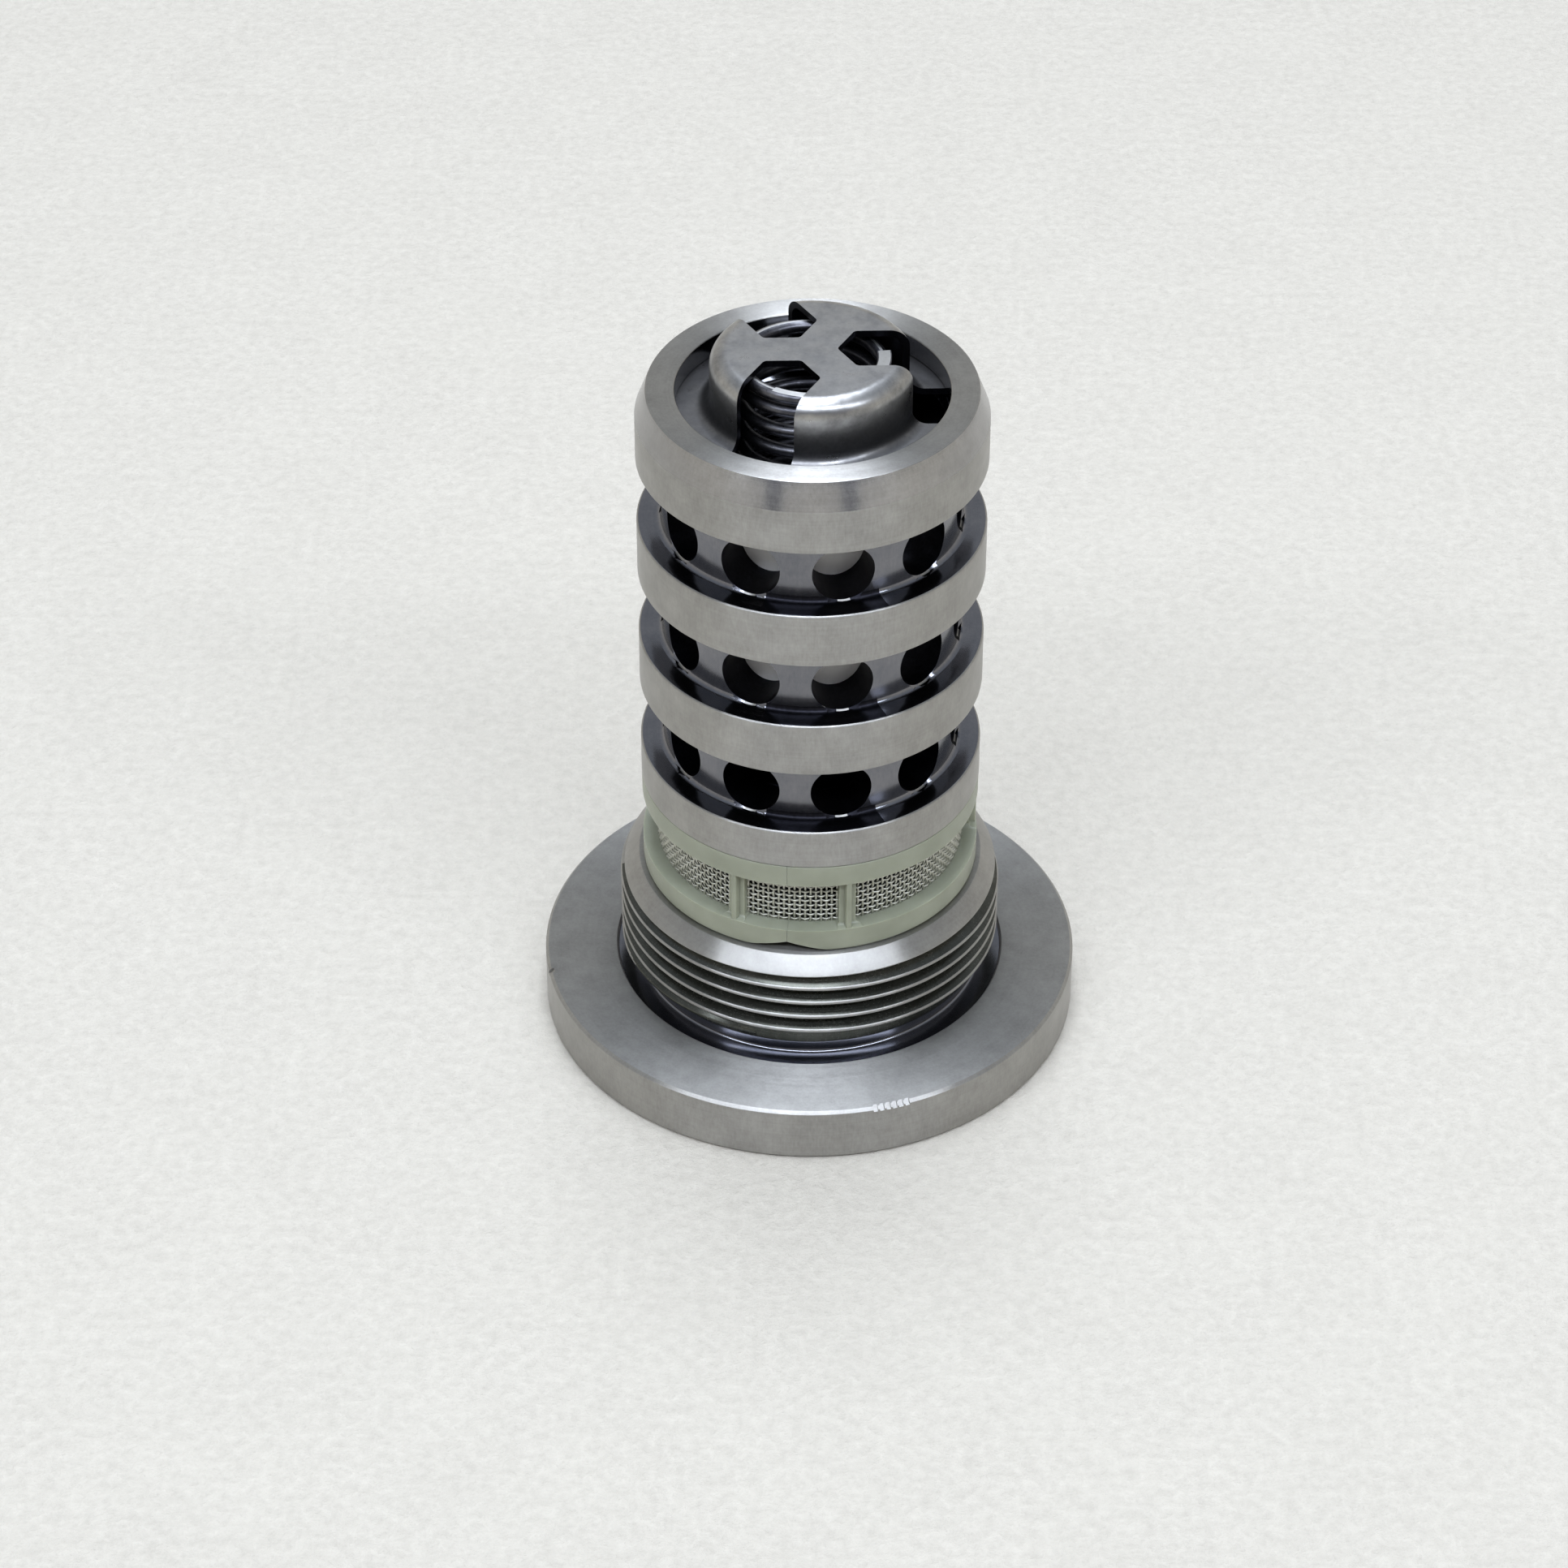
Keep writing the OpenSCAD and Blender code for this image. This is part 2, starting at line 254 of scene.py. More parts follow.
def lathe(outline, steps=AZIMUTH_STEPS):
    """A closed anticlockwise outline of (r, z) turned about Z. A point on the axis makes one vertex."""
    vertices = []
    index = []
    for r, z in outline:
        if r < 1e-6:
            index.append([len(vertices)] * steps)
            vertices.append((0, 0, z))
            continue
        index.append(list(range(len(vertices), len(vertices) + steps)))
        vertices.extend((*polar(r, 360 * k / steps), z) for k in range(steps))
    faces = []
    rows = len(outline)
    for j in range(rows):
        low, high = index[j], index[(j + 1) % rows]
        for k in range(steps):
            n = (k + 1) % steps
            face = [low[k], low[n], high[n], high[k]]
            face = [v for i, v in enumerate(face) if v != face[i - 1]]
            if len(face) > 2:
                faces.append(face)
    return vertices, faces


def prism(outline, origin, right, up, depth):
    """A flat anticlockwise outline in the plane of right and up, pushed by the vector depth."""
    origin, right, up, depth = (np.array(v, float) for v in (origin, right, up, depth))
    base = [origin + right * x + up * y for x, y in outline]
    vertices = [tuple(p) for p in base] + [tuple(p + depth) for p in base]
    count = len(base)
    faces = [list(range(count))[::-1], list(range(count, 2 * count))]
    faces += [[i, (i + 1) % count, count + (i + 1) % count, count + i] for i in range(count)]
    return vertices, faces


def circle(radius, steps=64):
    """Anticlockwise outline of a circle."""
    return [(radius * math.cos(2 * math.pi * k / steps), radius * math.sin(2 * math.pi * k / steps))
            for k in range(steps)]


def radial_prism(outline, az, z, r_in, r_out):
    """An outline seen from outside, pushed from r_in out to r_out at an azimuth."""
    outward = np.array([*polar(1, az), 0])
    right = np.array([*polar(1, az + 90), 0])
    return prism(outline, outward * r_in + (0, 0, z), right, (0, 0, 1), outward * (r_out - r_in))


def tube(sections, closed=False):
    """Quads between sections, each a list of (x, y, z) points, with flat ends or joined end to end."""
    count = len(sections)
    side = len(sections[0])
    vertices = [tuple(point) for section in sections for point in section]
    faces = []
    for i in range(count if closed else count - 1):
        n = (i + 1) % count
        for j in range(side):
            m = (j + 1) % side
            faces.append([i * side + j, n * side + j, n * side + m, i * side + m])
    if not closed:
        faces.append(list(range(side)))
        faces.append(list(range((count - 1) * side, count * side))[::-1])
    return vertices, faces


def sweep(sections, azimuths):
    """Anticlockwise sections of (r, z) points, each turned to its own azimuth, with the azimuths rising."""
    return tube([[(*polar(r, az), z) for r, z in section] for section, az in zip(sections, azimuths)])


def evaluated_mesh(obj):
    """A new mesh of the object with its modifiers applied."""
    depsgraph = bpy.context.evaluated_depsgraph_get()
    return bpy.data.meshes.new_from_object(obj.evaluated_get(depsgraph))


def boolean(target, operation, shape):
    """Applies one boolean to the target, with a shape that isn't kept."""
    tool = make_object("tool", shape)
    modifier = target.modifiers.new("boolean", "BOOLEAN")
    modifier.operation = operation
    modifier.solver = "MANIFOLD"
    modifier.object = tool
    mesh = evaluated_mesh(target)
    target.modifiers.clear()
    target.data = mesh
    bpy.data.objects.remove(tool)


def smooth(obj, angle=SHARP_ANGLE):
    """Smooth shading, with sharp edges where faces meet at more than the angle."""
    mesh = obj.data
    mesh.polygons.foreach_set("use_smooth", [True] * len(mesh.polygons))
    mesh.set_sharp_from_angle(angle=angle)


def finish_piece(obj, body, node, material):
    """Puts a detailed piece on its body, in the place of its CAD node."""
    obj.data.materials.clear()
    obj.data.materials.append(material)
    obj.data.polygons.foreach_set("material_index", [0] * len(obj.data.polygons))
    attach(obj, body)
    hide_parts(node)


# ------------------------ materials


class Nodes:
    """A short way to write a material's node graph."""

    def __init__(self, name):
        self.material = bpy.data.materials.new(name)
        self.material.use_nodes = True
        self.tree = self.material.node_tree
        self.shader = self.tree.nodes["Principled BSDF"]

    def add(self, kind, inputs=(), **settings):
        """A new node with its settings and inputs."""
        node = self.tree.nodes.new(kind)
        for key, value in settings.items():
            setattr(node, key, value)
        for socket, value in dict(inputs).items():
            self.put(node.inputs[socket], value)
        return node

    def put(self, socket, value):
        """Links an output, or sets a constant."""
        if isinstance(value, bpy.types.NodeSocket):
            self.tree.links.new(value, socket)
        else:
            socket.default_value = value

    def set(self, **values):
        """Sets or links inputs of the shader, named with _ for a space."""
        for name, value in values.items():
            self.put(self.shader.inputs[name.replace("_", " ")], value)

    def position(self):
        return self.add("ShaderNodeTexCoord").outputs["Object"]

    def radius_and_height(self, position):
        """The distance from the axis, 0 and the height, as a vector: a texture on it is made of rings."""
        flat = self.add("ShaderNodeVectorMath", {0: position, 1: (1, 1, 0)}, operation="MULTIPLY")
        length = self.add("ShaderNodeVectorMath", {0: flat.outputs[0]}, operation="LENGTH")
        split = self.add("ShaderNodeSeparateXYZ", {0: position})
        return self.add("ShaderNodeCombineXYZ", {0: length.outputs["Value"], 2: split.outputs[2]}).outputs[0]

    def stretched(self, position, factors):
        """The position times a factor for each axis: a texture on it is longer where the factor is small."""
        return self.add("ShaderNodeVectorMath", {0: position, 1: factors}, operation="MULTIPLY").outputs[0]

    def noise(self, vector, size_mm, detail=3.0, roughness=0.55):
        """Noise whose largest features are about size_mm across."""
        inputs = {"Vector": vector, "Scale": 1 / (size_mm * MM), "Detail": detail, "Roughness": roughness}
        return self.add("ShaderNodeTexNoise", inputs).outputs["Fac"]

    def mapped(self, value, low, high, from_low=0.3, from_high=0.7):
        """The value taken from its own range to the range from low to high, and kept within it."""
        inputs = {"Value": value, "From Min": from_low, "From Max": from_high, "To Min": low, "To Max": high}
        return self.add("ShaderNodeMapRange", inputs).outputs["Result"]

    def ramp(self, value, colours):
        """A colour ramp from (place, colour) pairs."""
        node = self.add("ShaderNodeValToRGB", {"Fac": value})
        elements = node.color_ramp.elements
        while len(elements) < len(colours):
            elements.new(0.5)
        for element, (place, colour) in zip(elements, colours):
            element.position = place
            element.color = (*colour, 1)
        return node.outputs["Color"]

    def math(self, operation, a, b):
        return self.add("ShaderNodeMath", {0: a, 1: b}, operation=operation).outputs[0]

    def bump(self, height, depth_mm, normal=None):
        """A bump of a depth, on top of another normal if one is given."""
        inputs = {"Height": height, "Distance": depth_mm * MM, "Strength": 1.0}
        if normal is not None:
            inputs["Normal"] = normal
        return self.add("ShaderNodeBump", inputs).outputs["Normal"]


def turned_metal(name, dark, light, roughness, anisotropy, ring_mm, ring_depth_mm, metallic=1.0):
    """Metal finished on a lathe: fine rings, which stretch the highlights, and faint handling marks."""
    nodes = Nodes(name)
    position = nodes.position()
    rings = nodes.noise(nodes.radius_and_height(position), ring_mm, detail=4.0, roughness=0.7)
    cloud = nodes.noise(position, 2.6, detail=6.0, roughness=0.7)
    scuff = nodes.noise(nodes.stretched(position, (1.0, 1.0, 0.25)), 0.22, detail=3.0, roughness=0.7)
    tone = nodes.math("ADD", nodes.math("MULTIPLY", cloud, 0.5), nodes.math("MULTIPLY", rings, 0.2))
    tone = nodes.math("ADD", tone, nodes.math("MULTIPLY", scuff, 0.3))
    nodes.set(
        Metallic=metallic,
        Base_Color=nodes.ramp(tone, [(0.37, dark), (0.63, light)]),
        Roughness=nodes.mapped(nodes.math("ADD", nodes.math("MULTIPLY", rings, 0.5),
                                          nodes.math("MULTIPLY", scuff, 0.5)),
                               roughness * 0.85, roughness * 1.2),
        Anisotropic=anisotropy,
        Anisotropic_Rotation=0.25,
        Tangent=nodes.add("ShaderNodeTangent", direction_type="RADIAL", axis="Z").outputs[0],
    )
    fine = nodes.bump(rings, ring_depth_mm)
    nodes.set(Normal=nodes.bump(scuff, ring_depth_mm * 0.35, normal=fine))
    return nodes.material


def pressed_metal(name, dark, light, roughness, foot_z, shade_end_z):
    """Smooth sheet with the soft orange peel of a pressing, and a painted shade that darkens it towards its
    foot.
    """
    nodes = Nodes(name)
    position = nodes.position()
    cloud = nodes.noise(position, 1.9, detail=6.0, roughness=0.65)
    grain = nodes.noise(position, 0.25, detail=3.0)
    peel = nodes.noise(position, 1.2, detail=1.5)
    height = nodes.add("ShaderNodeSeparateXYZ", {0: position}).outputs[2]
    # Painted shade: the sheet darkens from the shoulder down to its foot
    foot_shade = nodes.mapped(height, 0.3, 1.0, foot_z * MM, shade_end_z * MM)
    marks = nodes.math("MULTIPLY", nodes.mapped(cloud, 0.5, 1.0, 0.35, 0.6), nodes.mapped(grain, 0.9, 1.0))
    tone = nodes.math("MULTIPLY", marks, foot_shade)
    nodes.set(
        Metallic=1.0,
        Base_Color=nodes.ramp(tone, [(0.0, dark), (1.0, light)]),
        Roughness=nodes.mapped(cloud, roughness * 1.3, roughness * 0.85),
        Normal=nodes.bump(peel, 0.022),
    )
    return nodes.material


def wire_metal(name, dark, light, roughness, grain_mm=0.12):
    """Drawn wire."""
    nodes = Nodes(name)
    position = nodes.position()
    cloud = nodes.noise(position, 1.1, detail=3.0)
    grain = nodes.noise(position, grain_mm, detail=2.0)
    nodes.set(
        Metallic=1.0,
        Base_Color=nodes.ramp(cloud, [(0.35, dark), (0.65, light)]),
        Roughness=nodes.mapped(grain, roughness * 0.8, roughness * 1.2),
        Normal=nodes.bump(grain, 0.004),
    )
    return nodes.material


def moulded_plastic(name, dark, light):
    """Pale greenish nylon that light enters a little way."""
    nodes = Nodes(name)
    position = nodes.position()
    cloud = nodes.noise(position, 3.5, detail=3.0)
    grain = nodes.noise(position, 0.12, detail=2.0)
    nodes.set(
        Base_Color=nodes.ramp(cloud, [(0.3, dark), (0.7, light)]),
        Roughness=nodes.mapped(grain, 0.34, 0.44),
        Subsurface_Weight=0.5,
        Subsurface_Radius=(1.0, 1.0, 0.8),
        Subsurface_Scale=0.0007,
        IOR=1.5,
        Normal=nodes.bump(grain, 0.004, normal=nodes.bump(cloud, 0.05)),
    )
    return nodes.material


def pale_felt(name):
    """Off-white felt with soft tufts."""
    nodes = Nodes(name)
    position = nodes.position()
    tuft = nodes.noise(position, 1.1, detail=6.0, roughness=0.7)
    cloud = nodes.noise(position, 9.0, detail=3.0)
    tone = nodes.math("ADD", nodes.math("MULTIPLY", cloud, 0.15), nodes.math("MULTIPLY", tuft, 0.85))
    nodes.set(
        Base_Color=nodes.ramp(tone, [(0.36, (0.458, 0.428, 0.372)), (0.64, (0.529, 0.497, 0.433))]),
        Roughness=0.95,
        Specular_IOR_Level=0.1,
        Normal=nodes.bump(tuft, 0.35),
    )
    return nodes.material


steel_material = turned_metal(
    "turned_steel", dark=(0.30, 0.292, 0.275), light=(0.42, 0.412, 0.39), roughness=0.34,
    anisotropy=0.9, ring_mm=0.16, ring_depth_mm=0.004)
faced_material = turned_metal(
    "faced_steel", dark=(0.30, 0.295, 0.28), light=(0.42, 0.415, 0.395), roughness=0.45,
    anisotropy=0.9, ring_mm=0.22, ring_depth_mm=0.005)
# Painted shade: darker steel for the bore's mouth, the flange's recess and relief, and the groove floors
painted_shade_material = turned_metal(
    "painted_shade_steel", dark=(0.15, 0.155, 0.175), light=(0.22, 0.22, 0.235), roughness=0.16,
    anisotropy=0.6, ring_mm=0.16, ring_depth_mm=0.002)
chamfer_material = turned_metal(
    "chamfer_steel", dark=(0.32, 0.315, 0.31), light=(0.42, 0.415, 0.41), roughness=0.2,
    anisotropy=0.9, ring_mm=0.16, ring_depth_mm=0.003)
# Painted shade: near-black steel on the thread's flanks and roots, between the ridges; the crests keep the
# turned steel
thread_shade_material = turned_metal(
    "thread_painted_shade", dark=(0.06, 0.062, 0.052), light=(0.11, 0.112, 0.098), roughness=0.25,
    anisotropy=0.5, ring_mm=0.16, ring_depth_mm=0.003)
# Painted shade: near-black steel for the bore, the holes, the filter's seat, the cap's inside and the spool's
# waists
black_shade_material = turned_metal(
    "painted_black_shade", dark=(0.008, 0.008, 0.010), light=(0.022, 0.022, 0.028), roughness=0.35,
    anisotropy=0.3, ring_mm=0.16, ring_depth_mm=0.003)
# Painted light: the steel spool is near-white and not metallic, so that it stays bright behind the ports
spool_light_material = turned_metal(
    "spool_metal", dark=(0.84, 0.83, 0.81), light=(0.92, 0.91, 0.89), roughness=0.55,
    anisotropy=0.4, ring_mm=0.12, ring_depth_mm=0.002, metallic=0.0)
hard_material = turned_metal(
    "hardened_steel", dark=(0.40, 0.40, 0.40), light=(0.52, 0.52, 0.52), roughness=0.22,
    anisotropy=0.4, ring_mm=0.1, ring_depth_mm=0.001)
ground_material = turned_metal(
    "ground_wire", dark=(0.46, 0.46, 0.45), light=(0.56, 0.56, 0.55), roughness=0.4,
    anisotropy=0.5, ring_mm=0.1, ring_depth_mm=0.002)
cap_material = pressed_metal(
    "pressed_steel", dark=(0.05, 0.05, 0.055), light=(0.41, 0.405, 0.395), roughness=0.30,
    foot_z=cap_flange_z, shade_end_z=cap_top_z - cap_shoulder_r)
# Painted shade: very dark wire stands in for the shade inside the cap
spring_shade_material = wire_metal(
    "spring_steel", dark=(0.07, 0.07, 0.08), light=(0.13, 0.13, 0.14), roughness=0.34)
filter_wire_material = wire_metal(
    "filter_wire", dark=(0.42, 0.42, 0.36), light=(0.54, 0.54, 0.48), roughness=0.5, grain_mm=0.05)
plastic_material = moulded_plastic(
    "filter_plastic", dark=(0.225, 0.237, 0.175), light=(0.275, 0.287, 0.216))

# Zones of the bolt body: the second to fourth are painted shade, darker steel and near-black steel
TURNED, PAINTED_SHADE, FLANK_SHADE, PAINTED_BLACK, FACED, CHAMFER = range(6)
housing_materials = [steel_material, painted_shade_material, thread_shade_material, black_shade_material, faced_material,
                     chamfer_material]


# ------------------------ pieces


def housing_outline():
    """Half section of the bolt body, with every turned edge slightly broken."""
    grooves = []
    for z in groove_z:
        grooves += [(land_r, z, 0.2), (floor_r, z, groove_fillet), (floor_r, z + groove_w, 0.15),
                    (land_r, z + groove_w, 0.1)]
    outside = [
        (flange_r, 0, 0.4), (flange_r, flange_t - edge_chamfer, 0.05),
        (flange_r - edge_chamfer, flange_t, 0.05), (recess_r, flange_t, 0.08),
        (recess_r - 0.15, flange_t - recess_depth, 0.05), (relief_r, flange_t - recess_depth, 0.3),
        (relief_r, core_z0 - 0.5, 0.2), (thread_root_r, core_z0, 0.1), (thread_root_r, ring_foot_z, 0.05),
        (ring_r, ring_z, 0.06), (collar_top_r, collar_top_z, 0.12), (floor_r, collar_top_z, 0.2),
        (floor_r, filter_seat_top_z, 0.2), (land_r, filter_seat_top_z, 0.1),
        *grooves,
        (land_r, top_chamfer_z, 0.08), (top_chamfer_r, body_top_z, 0.08),
    ]
    inside = [
        (mouth_r, body_top_z, 0.12), (mouth_r, snap_z[1], 0), (snap_groove_r, snap_z[1], 0),
        (snap_groove_r, snap_z[0], 0), (mouth_r, snap_z[0], 0.05), (mouth_r, mouth_floor_z, 0.1),
        (bore_r, mouth_floor_z - 0.6, 0.05), (bore_r, stop_z, 0.05), (stop_bore_r, stop_z, 0.1),
        (stop_bore_r, ring_groove_z[1], 0), (ring_groove_r, ring_groove_z[1], 0),
        (ring_groove_r, ring_groove_z[0], 0), (stop_bore_r, ring_groove_z[0], 0), (stop_bore_r, 0.6, 0.1),
        (stop_bore_r + 0.6, 0, 0.1),
    ]
    return refine(round_corners(outside + inside), 0.8)


def thread_ridge():
    """Left-hand thread, with a narrow worn crest, that fades out in the relief and ends in the lead ring."""
    steps_per_turn = 150
    z_start = core_z0 + 0.47
    turns = (ring_z - z_start) / thread_pitch
    steps = round(turns * steps_per_turn)
    foot_az = -17
    root_half = 0.43 * thread_pitch
    crest_half = 0.08 * thread_pitch
    buried = 0.2
    sections = []
    azimuths = []
    for i in range(steps + 1):
        z = z_start + (ring_z - z_start) * i / steps
        run_in = thread_root_r + 0.05 + 0.036 * i
        run_out = ring_r - 0.1 + max(0, ring_z - 0.15 - z)
        crest = min(thread_major_r, run_in, run_out)
        corners = [(thread_root_r - buried, z + root_half, 0), (thread_root_r - buried, z - root_half, 0),
                   (crest, z - crest_half, 0.18), (crest, z + crest_half, 0.18)]
        sections.append(round_corners(corners, steps=6))
        azimuths.append(foot_az - 360 * i / steps_per_turn)
    return sweep(sections[::-1], azimuths[::-1])


def housing_zone(point):
    """Place in housing_materials of the material that a point of the bolt body has."""
    r = math.hypot(point[0], point[1])
    height = point[2]
    azimuth = math.degrees(math.atan2(point[0], -point[1]))
    in_groove = any(z - 0.02 < height < z + groove_w + 0.02 for z in groove_z)
    on_groove_face = any(z - 0.02 < height < z + groove_fillet for z in groove_z)
    in_groove_shade = on_groove_face and groove_shade_az[0] < azimuth < groove_shade_az[1]
    # Painted shade: the grooves' lower faces are black in front
    if in_groove_shade and floor_r - 0.05 < r < land_r - 0.25:
        return PAINTED_BLACK
    # Painted shade in the bore: darker steel in its mouth, black below it
    if r < floor_r - 0.2 and height < body_top_z - 0.2:
        return PAINTED_SHADE if height > mouth_floor_z - 0.7 else PAINTED_BLACK
    # Painted shade: the filter's seat, under the filter, is black
    if r < floor_r + 0.05 and collar_top_z + 0.1 < height < filter_seat_top_z - 0.1:
        return PAINTED_BLACK
    # Painted shade in the flange's recess and relief
    if r < recess_r - 0.1 and flange_t - recess_depth - 0.1 < height < core_z0:
        return PAINTED_SHADE
    # Painted shade on the grooves' floors and faces
    if in_groove and r < land_r - 0.05:
        return PAINTED_SHADE
    # Painted shade between the thread's ridges
    if land_r < r < thread_major_r - 0.12 and core_z0 <= height < ring_foot_z:
        return FLANK_SHADE
    if r > recess_r + 0.05 and height > flange_t - 0.02:
        return FACED
    if top_chamfer_z < height < body_top_z - 0.04 and r > top_chamfer_r:
        return CHAMFER
    return TURNED


def countersink(az, z, radius, r0, r1):
    """A cone that breaks the edge of a radial hole: as wide as the hole at r0, and wider at r1."""
    steps = 64
    rings = []
    for r, ring_radius in ((r0, radius), (r1, radius + r1 - r0)):
        outward = np.array([*polar(r, az), z])
        right = np.array([*polar(1, az + 90), 0])
        rings.append([outward + right * x + np.array([0, 0, y]) for x, y in circle(ring_radius, steps)])
    return tube(rings[::-1])


def edge_nick(az, width, depth):
    """A cutter that leaves a small flat, at 45 degrees, in the top edge of the flange."""
    right = np.array([*polar(1, az + 90), 0])
    slope = np.array([*polar(1, az), -1.0])
    out = np.array([*polar(1, az), 1.0]) / math.sqrt(2)
    corner = np.array([*polar(flange_r - depth, az), flange_t])
    outline = [(0, -1), (2, -1), (2, 1), (0, 1)]
    return prism(outline, corner - right * width / 2, out, slope, right * width)


def build_housing():
    """Bolt body with its thread, holes, nicks and broken port edges, and a material for each zone, several of
    them painted shade.
    """
    housing = make_object("bolt_body", lathe(housing_outline()))
    boolean(housing, "UNION", thread_ridge())
    hole_az = [port_first_az + i * 360 / port_count for i in range(port_count)]
    port_z = [z + port_d / 2 + 0.02 for z in groove_z]
    inner = math.sqrt(bore_r ** 2 - (port_d / 2) ** 2) - 0.02
    ports = [radial_prism(circle(port_d / 2), az, z, inner, land_r + 1) for z in port_z for az in hole_az]
    supply = [radial_prism(circle(supply_hole_d / 2, 48), az, supply_hole_z, inner - 0.1, land_r + 1)
              for az in hole_az]
    drives = [prism(circle(drive_hole_d / 2, 48), (*polar(drive_circle_r, i * 360 / drive_count), -1),
                    (1, 0, 0), (0, 1, 0), (0, 0, drive_hole_depth + 1))
              for i in range(drive_count)]
    nicks = [edge_nick(nick_az + i * nick_pitch, nick_w, nick_depth) for i in range(nick_count)]
    nicks.append(edge_nick(lone_nick_az, lone_nick_w, lone_nick_depth))
    boolean(housing, "DIFFERENCE", merge(ports + supply + drives + nicks))
    breaks = [countersink(az, z, port_d / 2 - 0.02, floor_r - port_break, floor_r + port_break)
              for z in port_z for az in hole_az]
    boolean(housing, "DIFFERENCE", merge(breaks))
    smooth(housing)
    finish_piece(housing, "housing", "valve_housing", housing_materials[TURNED])
    for material in housing_materials[1:]:
        housing.data.materials.append(material)
    for face in housing.data.polygons:
        face.material_index = housing_zone(face.center / MM)


def bar_at(i):
    """Azimuth of a filter bar. The joint of the strip lies in the narrow window before the first bar."""
    return bar_az + i * bar_pitch if i < bar_count else bar_az + 360


def window_wedge(az0, az1):
    """The space between two bars, in the shape of a bent block from inside the strip to outside it."""
    steps = 40
    sections = []
    azimuths = []
    for i in range(steps + 1):
        azimuths.append(az0 + (az1 - az0) * i / steps)
        edge = min(i, steps - i) / steps * math.radians(az1 - az0) * mesh_r
        into_corner = max(0.0, window_corner_r - edge)
        inset = window_corner_r - math.sqrt(max(0.0, window_corner_r ** 2 - into_corner ** 2))
        low, high = window_z0 + inset, window_z1 - inset
        sections.append([(frame_inner_r - 1, low), (frame_r + 1, low), (frame_r + 1, high),
                         (frame_inner_r - 1, high)])
    return sweep(sections, azimuths)


def build_filter_frame():
    """Moulded strip with its windows, a recess between its rims, a rib on each bar, and the joint."""
    rim = round_corners([(frame_inner_r, frame_z0, 0.15), (frame_r, frame_z0, 0.3), (frame_r, frame_z1, 0.12),
                         (frame_inner_r, frame_z1, 0.12)])
    strip = make_object("filter_strip", lathe(refine(rim, 0.6)))
    boolean(strip, "DIFFERENCE", merge([window_wedge(bar_at(i) + bar_half_w, bar_at(i + 1) - bar_half_w)
                                        for i in range(bar_count)]))
    recess = round_corners([(bar_r, window_z0 + 0.1, 0.3), (frame_r + 1, window_z0 - 0.12, 0),
                            (frame_r + 1, window_z1 + 0.12, 0), (bar_r, window_z1 - 0.1, 0.3)])
    boolean(strip, "DIFFERENCE", lathe(recess))
    rib = round_corners([(-0.3, 0, 0), (0.3, 0, 0), (0.22, rib_height, 0.12), (-0.22, rib_height, 0.12)],
                        steps=3)
    ribs = [prism_z(rib, bar_at(i), rib_r - rib_height, window_z0 - 0.3, window_z1 + 0.3)
            for i in range(bar_count)]
    boolean(strip, "UNION", merge(ribs))
    boolean(strip, "DIFFERENCE", joint_slit())
    smooth(strip)
    finish_piece(strip, "housing", "filter_frame", plastic_material)


def prism_z(outline, az, r, z0, z1):
    """An upright bar: the outline's y points outwards from radius r at an azimuth."""
    right = np.array([*polar(1, az + 90), 0])
    out = np.array([*polar(1, az), 0])
    return prism([(-x, y) for x, y in reversed(outline)], (*polar(r, az), z0), -right, out, (0, 0, z1 - z0))


def joint_slit():
    """The gap between the strip's two ends, which widens at the bottom where both ends curve up to it."""
    half = joint_gap / 2
    steps = 16
    arch = [(notch_half_w * i / steps, frame_z0 - 0.06 + (notch_h + 0.06) * (1 - i / steps) ** 1.2)
            for i in range(steps + 1)]
    right_side = [(half, frame_z1 + 1), (half, frame_z0 + notch_h)]
    right_side += [(x, z) for x, z in arch if x > half] + [(notch_half_w, frame_z0 - 1)]
    left_side = [(-x, z) for x, z in right_side]
    return radial_prism(right_side[::-1] + left_side, joint_az, 0, frame_inner_r - 1, frame_r + 1)


def wire_path(points, radius, sides, closed):
    """A round wire along points given as (r, azimuth, z), whose section stays upright or flat by itself."""
    centres = np.array([(*polar(r, az), z) for r, az, z in points])
    if closed:
        ahead = np.roll(centres, -1, axis=0) - np.roll(centres, 1, axis=0)
    else:
        ahead = np.gradient(centres, axis=0)
    ahead /= np.linalg.norm(ahead, axis=1)[:, None]
    out = np.array([(*polar(1, az), 0) for _, az, _ in points])
    across = np.cross(ahead, out)
    across /= np.linalg.norm(across, axis=1)[:, None]
    turns = [2 * math.pi * (k + 0.5) / sides for k in range(sides)]
    return tube([[centre + radius * (a * math.cos(t) + o * math.sin(t)) for t in turns]
                 for centre, o, a in zip(centres, np.cross(across, ahead), across)], closed)


